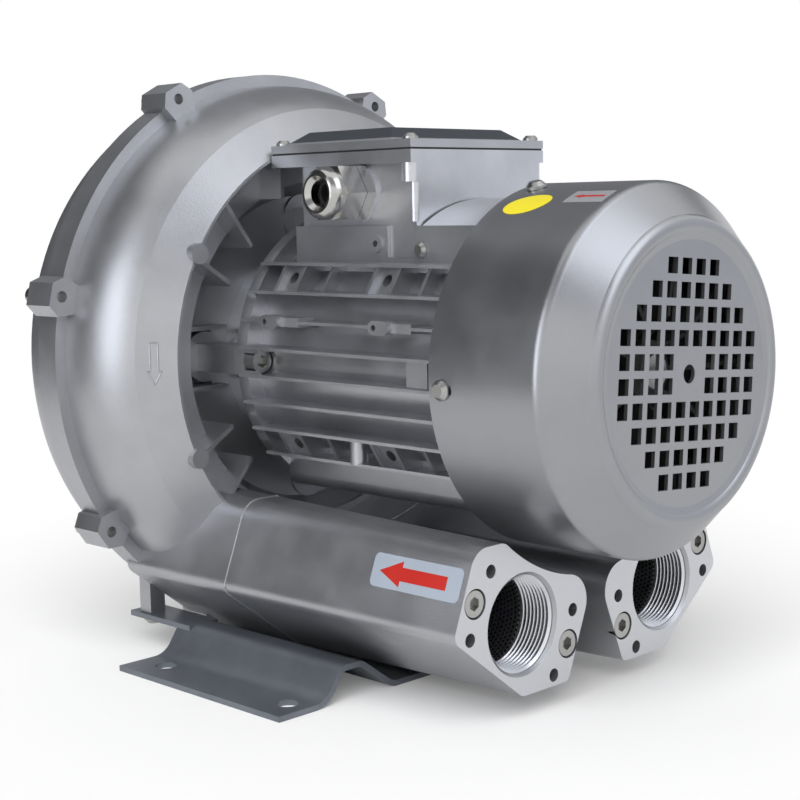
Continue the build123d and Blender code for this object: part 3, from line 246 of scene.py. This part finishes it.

# %% [markdown]
# ## The fan cowl
# The cowl is drawn from sheet steel and sprayed with a silver paint that has coarse
# metallic flakes. Flakes are a fine noise in the colour, not relief: they
# sparkle, but the sheet under them is smooth.

# %% Cowl and foot finish
cowl_paint = metal("cowl_silver_paint", 0.38, 0.9, 0.33, grain=900, relief=0.06, drift=0.04)
tree = cowl_paint.node_tree
flakes = ranged(tree, noise(tree, object_point(tree), 1500, 2), 0.0, 1.0, 0.35, 0.65)
surface = surface_of(cowl_paint)
plain = surface.inputs["Base Color"].links[0].from_socket
flake_colour = blend(tree, 0.5, plain, tone(0.36, COOL))
tree.links.new(blend(tree, flakes, flake_colour, plain), surface.inputs["Base Color"])
paint(cowl_paint, "fan_cowl")

foot_paint = metal("foot_grey_paint", 0.20, 0.55, 0.36, grain=900, relief=0.06, tint=(0.9, 0.98, 1.12))
paint(foot_paint, "foot")
print("cowl and foot painted")

# %% [markdown]
# ## Bought parts
# Screws are zinc plated, the gland is nickel plated brass, bearings are ground steel. They
# differ in tint and in how sharp their reflections are. The fine grain stands for the
# plating on a screw and for the tool marks on a ground part.

# %% Finishes of the bought parts
zinc = metal("zinc_plate", 0.44, 1.0, 0.3, grain=2500, relief=0.08, tint=(1.0, 1.0, 0.97))
screws = ("cover", "frame", "shield", "cowl", "lid", "box", "foot")
paint(zinc, *(kind + "_screws" for kind in screws))
paint(zinc, "silencer_screws_near", "silencer_screws_far", "earth_screw")
paint(zinc, "impeller_washer", "impeller_bolt")

nickel = metal("nickel_plate", 0.56, 1.0, 0.2, grain=1800, relief=0.06, tint=(1.0, 0.985, 0.95))
paint(nickel, "gland_body", "gland_nut")

ground = metal("ground_steel", 0.56, 1.0, 0.26, grain=3000, relief=0.05, tint=(1, 1, 1))
paint(ground, "shaft", "impeller_key")
bearing = metal("bearing_steel", 0.68, 1.0, 0.12, grain=3000, relief=0.02, tint=(1, 1, 1))
for end in ("drive", "fan"):
    paint(bearing, end + "_bearing_outer", end + "_bearing_inner", end + "_bearing_balls")
spring = metal("blued_strip", 0.25, 1.0, 0.3, grain=2000, relief=0.05)
paint(spring, "wave_spring", "fan_clip")
turned_aluminium = metal("turned_aluminium", 0.66, 1.0, 0.3, grain=1600, relief=0.1)
paint(turned_aluminium, "impeller", "rotor_cage")
brass = metal("bright_brass", 0.6, 1.0, 0.25, grain=1600, relief=0.05, tint=(1.15, 0.9, 0.45))
paint(brass, "terminal_studs")
print("bought parts finished")

# %% [markdown]
# ## Rubber, plastic and foam
# These are not metals: their colour is dark and their gloss is weak. Foam has a coarse,
# deep relief, moulded plastic a faint one.

# %% Finishes without metal
rubber = metal("black_rubber", 0.022, 0.0, 0.6, grain=2200, relief=0.1, tint=(1, 1, 1))
paint(rubber, "shaft_seal", "lid_gasket", "gland_seal")
fan_plastic = metal("fan_plastic", 0.035, 0.0, 0.45, grain=1500, relief=0.1, tint=(1, 1, 1))
paint(fan_plastic, "cooling_fan")
board = metal("board_plastic", 0.07, 0.0, 0.5, grain=1500, relief=0.08, tint=(1.3, 0.8, 0.5))
paint(board, "terminal_board")
foam = metal("open_foam", 0.05, 0.0, 0.95, grain=500, relief=1.0, tint=(1, 1, 1))
paint(foam, "silencer_liner_near", "silencer_liner_far")
print("soft finishes done")

# %% [markdown]
# ## Stacked sheets and copper
# The stator and rotor cores are stacks of half-millimetre sheets, so their edges show as
# fine stripes along the shaft. The windings are rows of varnished wire.

# %% Striped finishes
def striped(name, value, rough, spacing, axis, tint, metallic=1.0):
    material = metal(name, value, metallic, rough, tint=tint)
    tree = material.node_tree
    place = add(tree, "SeparateXYZ", {0: object_point(tree)}).outputs
    wave = calc(tree, "SINE", calc(tree, "MULTIPLY", place[axis], 2 * math.pi / spacing))
    bump = add(tree, "Bump", {"Height": wave, "Distance": 0.0002, "Strength": 0.5})
    tree.links.new(bump.outputs[0], surface_of(material).inputs["Normal"])
    return material


core = striped("stacked_sheet", 0.26, 0.4, 0.5 * MM, 1, (1, 1, 1))
paint(core, "stator_core", "rotor_core")
copper = striped("varnished_copper", 0.5, 0.3, 0.9 * MM, 0, (1.15, 0.6, 0.35))
paint(copper, "stator_windings")
print("core and windings finished")

# %% [markdown]
# ## Perforated sleeves
# Inside each silencer a tube of perforated sheet holds the foam back. The holes are drawn,
# not cut: angle round the port axis and distance along it make a grid, every second row
# shifted by half a step, and each cell has a dark round spot.

# %% Sleeve finish
HOLE_STEP = 2.4 * MM
HOLES_ROUND = 58
HOLE_SQUARED = 0.1  # a hole's radius as a share of the step, squared


def perforated(name, centre_x):
    material = metal(name, 0.30, 0.9, 0.35)
    tree = material.node_tree
    place = add(tree, "SeparateXYZ", {0: object_point(tree)}).outputs
    across = calc(tree, "SUBTRACT", place[0], centre_x)
    upward = calc(tree, "SUBTRACT", place[2], PORT_Z)
    angle = calc(tree, "ARCTAN2", upward, across)
    turns = calc(tree, "MULTIPLY", angle, HOLES_ROUND / (2 * math.pi))
    rows = calc(tree, "DIVIDE", place[1], HOLE_STEP)
    half_steps = calc(tree, "MULTIPLY", calc(tree, "FLOOR", rows), 0.5)
    shifted = calc(tree, "ADD", turns, half_steps)
    offsets = [calc(tree, "SUBTRACT", calc(tree, "FRACT", value), 0.5) for value in (shifted, rows)]
    squares = [calc(tree, "MULTIPLY", value, value) for value in offsets]
    hole = calc(tree, "LESS_THAN", calc(tree, "ADD", *squares), HOLE_SQUARED)
    cover_where(material, hole, 0.012, 0.8)
    return material


for side, centre_x in (("near", -PORT_X), ("far", PORT_X)):
    paint(perforated("perforated_sheet_" + side, centre_x), "silencer_sleeve_" + side)
print("sleeves finished")

# %% [markdown]
# ## Port threads
# Each port has an inch-and-a-half pipe thread, eleven ridges to the inch. It could be a
# bump, but it is deep enough to catch light on every ridge, so it is modelled: a circle is
# extruded along the port, in to the ridge and out to the groove again and again, and the
# last ring is bridged back to the first one behind the wall.

# %% Thread helper
THREAD_PITCH = 2.309 * MM
THREAD_TOP = 22.4 * MM
THREAD_ROOT = 23.85 * MM
THREAD_BACK = 24.3 * MM
THREAD_START = PORT_FACE_Y + 2.0 * MM
THREAD_RIDGES = 8
THREAD_SIDES = 96
# One ridge: a flank out to the groove or in to the ridge, and how far it goes, in pitches.
THREAD_STEPS = ((THREAD_ROOT, 0.1), (THREAD_TOP, 0.4), (THREAD_TOP, 0.1), (THREAD_ROOT, 0.4))


def start_piece():
    if bpy.context.object and bpy.context.object.mode != "OBJECT":
        bpy.ops.object.mode_set(mode="OBJECT")
    bpy.ops.object.select_all(action="DESELECT")


def end_piece(name, body, material):
    piece = bpy.context.object
    bpy.ops.object.mode_set(mode="OBJECT")
    bpy.ops.object.transform_apply(location=True, rotation=True, scale=True)
    piece.name = name
    piece.data.name = name
    piece.data.materials.clear()
    piece.data.materials.append(material)
    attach(piece, body)
    print(name, "faces:", len(piece.data.polygons))
    return piece


def next_ring(centre, step, old_radius, new_radius):
    bpy.ops.mesh.extrude_region_move(TRANSFORM_OT_translate={"value": (0, step, 0)})
    ratio = new_radius / old_radius
    bpy.ops.transform.resize(value=(ratio, 1, ratio), center_override=centre)


# %% Cut both threads
thread_finish = metal("cut_thread", 0.74, 1.0, 0.22, grain=2500, relief=0.05)
for side, centre_x in (("near", -PORT_X), ("far", PORT_X)):
    start_piece()
    centre = (centre_x, THREAD_START, PORT_Z)
    upright = (math.pi / 2, 0, 0)
    bpy.ops.mesh.primitive_circle_add(
        vertices=THREAD_SIDES, radius=THREAD_BACK, location=centre, rotation=upright
    )
    bpy.ops.object.mode_set(mode="EDIT")
    radius = THREAD_BACK
    for ridge in range(THREAD_RIDGES):
        for new_radius, step in THREAD_STEPS:
            next_ring(centre, step * THREAD_PITCH, radius, new_radius)
            radius = new_radius
    next_ring(centre, 0, radius, THREAD_BACK)
    bpy.ops.mesh.select_all(action="DESELECT")
    bpy.ops.mesh.select_non_manifold()
    bpy.ops.mesh.bridge_edge_loops()
    bpy.ops.mesh.select_all(action="SELECT")
    bpy.ops.mesh.normals_make_consistent(inside=False)
    thread = end_piece("port_thread_" + side, "base", thread_finish)
    for face in thread.data.polygons:
        face.use_smooth = False

# %% [markdown]
# ## Sealing beads
# Where a silencer meets the casing, a little sealant has been squeezed out and painted over
# with the rest. It follows the outline of the joint, so the outline is taken from a copy of
# the silencer: the copy is cut by a plane next to the joint, only the outermost edges of
# the cut are kept, and a thin round bead is drawn along them. A small random shift of the
# points gives the uneven look of something that was pressed out and not made.

# %% Bead helper
BEAD_RADIUS = 0.55 * MM
BEAD_UNEVEN = 0.25 * MM
BEAD_OFFSET = 0.6 * MM      # from the joint to the plane that cuts the copy
PORT_INSIDE = 31 * MM       # edges nearer to the port's axis are not the outline


def edges_to_bead(radius):
    """Turns a piece that is only edges into a round bead along them."""
    bpy.ops.object.mode_set(mode="OBJECT")
    bpy.ops.object.convert(target="CURVE")
    curve = bpy.context.object.data
    curve.bevel_depth = radius
    curve.bevel_resolution = 2
    bpy.ops.object.convert(target="MESH")


def select_where(piece, test):
    """Selects the points of a piece that pass a test on their place."""
    bpy.ops.object.mode_set(mode="EDIT")
    bpy.ops.mesh.select_mode(type="VERT")
    bpy.ops.mesh.select_all(action="DESELECT")
    bpy.ops.object.mode_set(mode="OBJECT")
    for vertex in piece.data.vertices:
        vertex.select = bool(test(vertex.co))
    bpy.ops.object.mode_set(mode="EDIT")


# %% Draw both beads
for side, centre_x in (("near", -PORT_X), ("far", PORT_X)):
    start_piece()
    nodes["silencer_" + side].select_set(True)
    bpy.context.view_layer.objects.active = nodes["silencer_" + side]
    bpy.ops.object.duplicate()
    piece = bpy.context.object
    bpy.ops.object.mode_set(mode="EDIT")
    bpy.ops.mesh.select_all(action="SELECT")
    bpy.ops.mesh.remove_doubles(threshold=0.01 * MM)
    cut = (0, SEAM_Y - BEAD_OFFSET, 0)
    bpy.ops.mesh.bisect(plane_co=cut, plane_no=(0, 1, 0), clear_inner=True, clear_outer=True)
    select_where(piece, lambda co: math.hypot(co.x - centre_x, co.z - PORT_Z) < PORT_INSIDE)
    bpy.ops.mesh.delete(type="VERT")
    bpy.ops.mesh.select_all(action="SELECT")
    bpy.ops.mesh.subdivide(number_cuts=3)
    bpy.ops.transform.vertex_random(offset=BEAD_UNEVEN, seed=4)
    edges_to_bead(BEAD_RADIUS)
    end_piece("sealing_bead_" + side, "base", cast)

# %% [markdown]
# ## Flow arrow on the casing
# The casting carries a raised outline of an arrow that shows which way the wheel turns.
# The seven corners of the arrow are laid out flat, set on the sloped ring, pressed onto its
# surface with a shrinkwrap, and drawn with a fine half-buried bead.

# %% Arrow outline
FILM_LIFT = 0.05 * MM       # over the surface, so that the two don't fight for the light
PRINT_LIFT = 0.16 * MM      # over the film under it


def arrow_corners(length, shaft, head_length, head):
    """Seven corners of an arrow that points along +X, its middle at the origin."""
    tip = length / 2
    neck = tip - head_length
    return (
        (tip, 0), (neck, head / 2), (neck, shaft / 2), (-tip, shaft / 2),
        (-tip, -shaft / 2), (neck, -shaft / 2), (neck, -head / 2),
    )


def arrow_blank(corners, fill):
    bpy.ops.mesh.primitive_circle_add(vertices=len(corners), fill_type=fill)
    piece = bpy.context.object
    for vertex, (x, y) in zip(piece.data.vertices, corners):
        vertex.co = (x, y, 0)
    return piece


def set_on(piece, centre, along, outward):
    """Stands a flat piece on a surface: its X along the one line, its Z along the other."""
    z = Vector(outward).normalized()
    x = Vector(along)
    x = (x - x.dot(z) * z).normalized()
    turn = Matrix((x, z.cross(x), z)).transposed().to_4x4()
    piece.matrix_world = Matrix.Translation(centre) @ turn
    bpy.ops.object.transform_apply(location=True, rotation=True, scale=True)


def press_on(piece, node, lift):
    wrap = piece.modifiers.new("press", "SHRINKWRAP")
    wrap.target = nodes[node]
    wrap.wrap_method = "NEAREST_SURFACEPOINT"
    wrap.wrap_mode = "ABOVE_SURFACE"
    wrap.offset = lift
    bpy.ops.object.modifier_apply(modifier="press")


# %% Raise the arrow
ARROW_PLACE = Vector((-128.6, 33.2, 168.4)) * MM
ARROW_OUTWARD = (-0.59, -0.805, 0.02)
ARROW_LINE = 0.45 * MM
DOWN = (0, 0, -1)
start_piece()
arrow = arrow_blank(arrow_corners(22 * MM, 4.2 * MM, 7 * MM, 7.6 * MM), "NOTHING")
set_on(arrow, ARROW_PLACE, DOWN, ARROW_OUTWARD)
bpy.ops.object.mode_set(mode="EDIT")
bpy.ops.mesh.select_all(action="SELECT")
bpy.ops.mesh.subdivide(number_cuts=3)
bpy.ops.object.mode_set(mode="OBJECT")
press_on(arrow, "blower_casing", FILM_LIFT)
edges_to_bead(ARROW_LINE)
end_piece("turning_arrow", "base", cast)

# %% [markdown]
# ## Stickers
# Three stickers: a pale one with a red arrow on the near silencer, a bare yellow oval and a
# silver one with an arrow on the cowl. A sticker is thin and follows what it sticks to. A
# flat outline is divided where it has to bend, pressed onto the surface and then given a
# thickness of a tenth of a millimetre.

# %% Sticker helper
STICKER_THICKNESS = 0.1 * MM
CORNER_STEPS = 6
OVAL_SIDES = 48
OVAL_RINGS = 4
RING_SHARE = 0.1            # width of each ring of the oval, as a share of its height


def thicken(piece):
    wall = piece.modifiers.new("thickness", "SOLIDIFY")
    wall.thickness = STICKER_THICKNESS
    wall.offset = 1
    bpy.ops.object.modifier_apply(modifier="thickness")


def rounded_sheet(length, height, corner, rows=1):
    bpy.ops.mesh.primitive_plane_add(size=1)
    piece = bpy.context.object
    piece.scale = (length, height, 1)
    bpy.ops.object.transform_apply(location=False, rotation=False, scale=True)
    bpy.ops.object.mode_set(mode="EDIT")
    bpy.ops.mesh.select_all(action="SELECT")
    bpy.ops.mesh.bevel(offset=corner, segments=CORNER_STEPS, affect="VERTICES")
    for row in range(1, rows):
        level = height * (row / rows - 0.5)
        bpy.ops.mesh.select_all(action="SELECT")
        bpy.ops.mesh.bisect(plane_co=(0, level, 0), plane_no=(0, 1, 0))
    bpy.ops.object.mode_set(mode="OBJECT")
    return piece


def oval_sheet(length, height):
    bpy.ops.mesh.primitive_circle_add(vertices=OVAL_SIDES, radius=0.5, fill_type="NGON")
    piece = bpy.context.object
    piece.scale = (length, height, 1)
    bpy.ops.object.transform_apply(location=False, rotation=False, scale=True)
    bpy.ops.object.mode_set(mode="EDIT")
    bpy.ops.mesh.select_all(action="SELECT")
    for ring in range(OVAL_RINGS):
        bpy.ops.mesh.inset(thickness=height * RING_SHARE)
    bpy.ops.object.mode_set(mode="OBJECT")
    return piece


def stick(piece, name, node, centre, along, outward, lift, material):
    set_on(piece, Vector(centre) * MM, along, outward)
    press_on(piece, node, lift)
    thicken(piece)
    return end_piece(name, "base", material)


# %% Sticker finishes
FILM = {"grain": 400, "relief": 0.02, "drift": 0.03}
pale_film = metal("pale_film", 0.40, 0.0, 0.35, tint=(0.88, 1.0, 1.18), **FILM)
red_print = metal("red_print", 0.5, 0.0, 0.35, tint=(1.0, 0.035, 0.02), **FILM)
yellow_film = metal("yellow_film", 0.75, 0.0, 0.3, tint=(1.15, 0.98, 0.02), **FILM)
silver_film = metal("silver_film", 0.6, 0.6, 0.3, **FILM)

# %% Sticker on the near silencer
SILENCER_SIDE = (-0.932, -0.028, 0.363)
ALONG_PORT = (0, 1, 0)
FILM_PLACE = (-96.4, -123.4, 73.2)
PRINT_PLACE = (-96.4, -121.4, 73.0)
start_piece()
sheet = rounded_sheet(57 * MM, 16.5 * MM, 3 * MM)
stick(
    sheet, "arrow_sticker", "silencer_near", FILM_PLACE, ALONG_PORT, SILENCER_SIDE,
    FILM_LIFT, pale_film,
)
start_piece()
sheet = arrow_blank(arrow_corners(43 * MM, 6.6 * MM, 14 * MM, 12.5 * MM), "NGON")
stick(
    sheet, "arrow_print", "silencer_near", PRINT_PLACE, ALONG_PORT, SILENCER_SIDE,
    PRINT_LIFT, red_print,
)

# %% Stickers on the cowl
COWL_RADIUS = 90.8  # millimetres


def cowl_place(arc, y):
    """A point on the cowl, by the arc from its top to the near side, and the way out from it."""
    angle = arc / COWL_RADIUS
    across = COWL_RADIUS * math.sin(angle)
    up = COWL_RADIUS * math.cos(angle)
    return (-across, y, AXIS_HEIGHT / MM + up), (-math.sin(angle), 0, math.cos(angle))


def stick_on_cowl(sheet, name, arc, y, along, lift, material):
    place, outward = cowl_place(arc, y)
    stick(sheet, name, "fan_cowl", place, along, outward, lift, material)


start_piece()
sheet = oval_sheet(25 * MM, 18 * MM)
stick_on_cowl(sheet, "oval_sticker", 43, -148, (0.45, -1, 0), FILM_LIFT, yellow_film)
start_piece()
sheet = rounded_sheet(23 * MM, 13 * MM, 0.8 * MM, 8)
stick_on_cowl(sheet, "cowl_sticker", 36, -180, ALONG_PORT, FILM_LIFT, silver_film)
start_piece()
sheet = arrow_blank(arrow_corners(18 * MM, 1.6 * MM, 5 * MM, 3.4 * MM), "NGON")
stick_on_cowl(sheet, "cowl_arrow_print", 36, -180, ALONG_PORT, PRINT_LIFT, red_print)

# %% [markdown]
# ## The camera
# The camera looks at the blower from the fan side and a little from above. Its three axes
# are given as vectors, so that it stands exactly as wanted, with no roll to work out.

# %% Camera
CAMERA_PLACE = Vector((-0.6229, -0.6441, 0.2486))
CAMERA_RIGHT = Vector((0.70685672, -0.7070701, -0.02013594))
CAMERA_UP = Vector((0.10030552, 0.07201519, 0.99234702))
lens = bpy.data.cameras.new("camera")
lens.lens = 72
lens.clip_start = 0.05
lens.clip_end = 50
camera = bpy.data.objects.new("camera", lens)
bpy.context.scene.collection.objects.link(camera)
axes = Matrix((CAMERA_RIGHT, CAMERA_UP, CAMERA_RIGHT.cross(CAMERA_UP))).transposed().to_4x4()
camera.matrix_world = Matrix.Translation(CAMERA_PLACE) @ axes
bpy.context.scene.camera = camera
print("camera looks along", [round(-c, 3) for c in camera.matrix_world.col[2][:3]])

# %% [markdown]
# ## Floor, world and lamps
# Silver paint shows what is round it more than its own colour. So the studio has a white
# world and floor, a soft sun over the camera's shoulder, and boards that only reflections
# can see. The dark boards behind and above put the deep tones on the cowl and the casing,
# as black cards do in a product studio; the bright ones on the left and in front draw the
# light bands on the sloped ring and on the cowl's shoulder. The world is white to the eye
# and in reflections, and lights the rest more gently.

# %% World
WORLD_LIGHT = 0.55
WORLD_SEEN = 1.0
world = bpy.data.worlds.new("studio")
bpy.context.scene.world = world
world.use_nodes = True
tree = world.node_tree
path = add(tree, "LightPath").outputs
mirrored = calc(tree, "MAXIMUM", path["Is Glossy Ray"], path["Is Transmission Ray"])
seen = calc(tree, "MAXIMUM", path["Is Camera Ray"], mirrored)
sky = tree.nodes["Background"]
sky.inputs["Color"].default_value = (1, 1, 1, 1)
tree.links.new(ranged(tree, seen, WORLD_LIGHT, WORLD_SEEN, 0, 1), sky.inputs["Strength"])

# %% Floor
FLOOR_WHITE = 0.86
FLOOR_GLOW = 0.12
start_piece()
bpy.ops.mesh.primitive_plane_add(size=60)
floor = bpy.context.object
floor.name = "floor"
floor_finish = metal(
    "floor_white", FLOOR_WHITE, 0.0, 0.9, grain=50, relief=0.0, drift=0.0, tint=(1, 1, 1)
)
tree = floor_finish.node_tree
path = add(tree, "LightPath").outputs
surface = surface_of(floor_finish)
surface.inputs["Specular IOR Level"].default_value = 0.0
surface.inputs["Emission Color"].default_value = (1, 1, 1, 1)
glow = calc(tree, "MULTIPLY", path["Is Camera Ray"], FLOOR_GLOW)
tree.links.new(glow, surface.inputs["Emission Strength"])
floor.data.materials.append(floor_finish)
floor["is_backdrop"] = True


# %% Boards that only reflections see
BOARD_TINT = (0.95, 0.98, 1.05, 1)


def board(name, place, size, turn, value):
    """A glowing sheet: its place, its two sides, how it is turned, and how bright it is."""
    start_piece()
    bpy.ops.mesh.primitive_plane_add(size=1, location=place)
    card = bpy.context.object
    card.name = name
    card.scale = (size[0], size[1], 1)
    card.rotation_euler = turn
    finish, tree = shader(name)
    glow = add(tree, "Emission", {"Color": BOARD_TINT, "Strength": value})
    tree.links.new(glow.outputs[0], tree.nodes["Material Output"].inputs["Surface"])
    card.data.materials.append(finish)
    card.visible_camera = False
    card.visible_diffuse = False
    card.visible_shadow = False
    card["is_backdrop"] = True


UPRIGHT = math.pi / 2
HALF_RIGHT = math.radians(45)
FACING_FRONT = (UPRIGHT, 0, HALF_RIGHT)
board("dark_behind", (-0.1, 1.3, 0.5), (3.6, 2.8), FACING_FRONT, 0.05)
board("dark_above", (0.9, 0.9, 1.3), (2.6, 2.2), (-math.pi / 6, math.pi / 6, 0), 0.22)
board("grey_right", (1.1, -1.0, 0.25), (1.6, 1.6), FACING_FRONT, 0.75)
board("grey_front", (-0.62, -0.62, 1.05), (1.1, 0.7), (HALF_RIGHT, 0, -HALF_RIGHT), 0.32)
board("bright_left", (-0.95, -0.03, 0.42), (0.7, 0.45), (0, UPRIGHT, 0), 2.9)
board("bright_front", (0.1, -0.8, 0.85), (0.8, 0.7), (HALF_RIGHT, 0, 0), 2.3)
print("boards ready")

# %% Sun
SUN_WAY = Vector((0.62, 0.5, -0.75))
sun = bpy.data.lights.new("sun", "SUN")
sun.energy = 2.3
sun.angle = math.radians(50)
holder = bpy.data.objects.new("sun", sun)
holder.visible_glossy = False
holder.rotation_euler = SUN_WAY.to_track_quat("-Z", "Y").to_euler()
bpy.context.scene.collection.objects.link(holder)
bpy.context.scene.view_settings.view_transform = "Standard"
print("studio ready")

# %% Sizes and finish
low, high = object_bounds()
growth = [(high[i] - low[i]) - (cad_high[i] - cad_low[i]) for i in range(3)]
print("grown by", [round(value, 5) for value in growth])
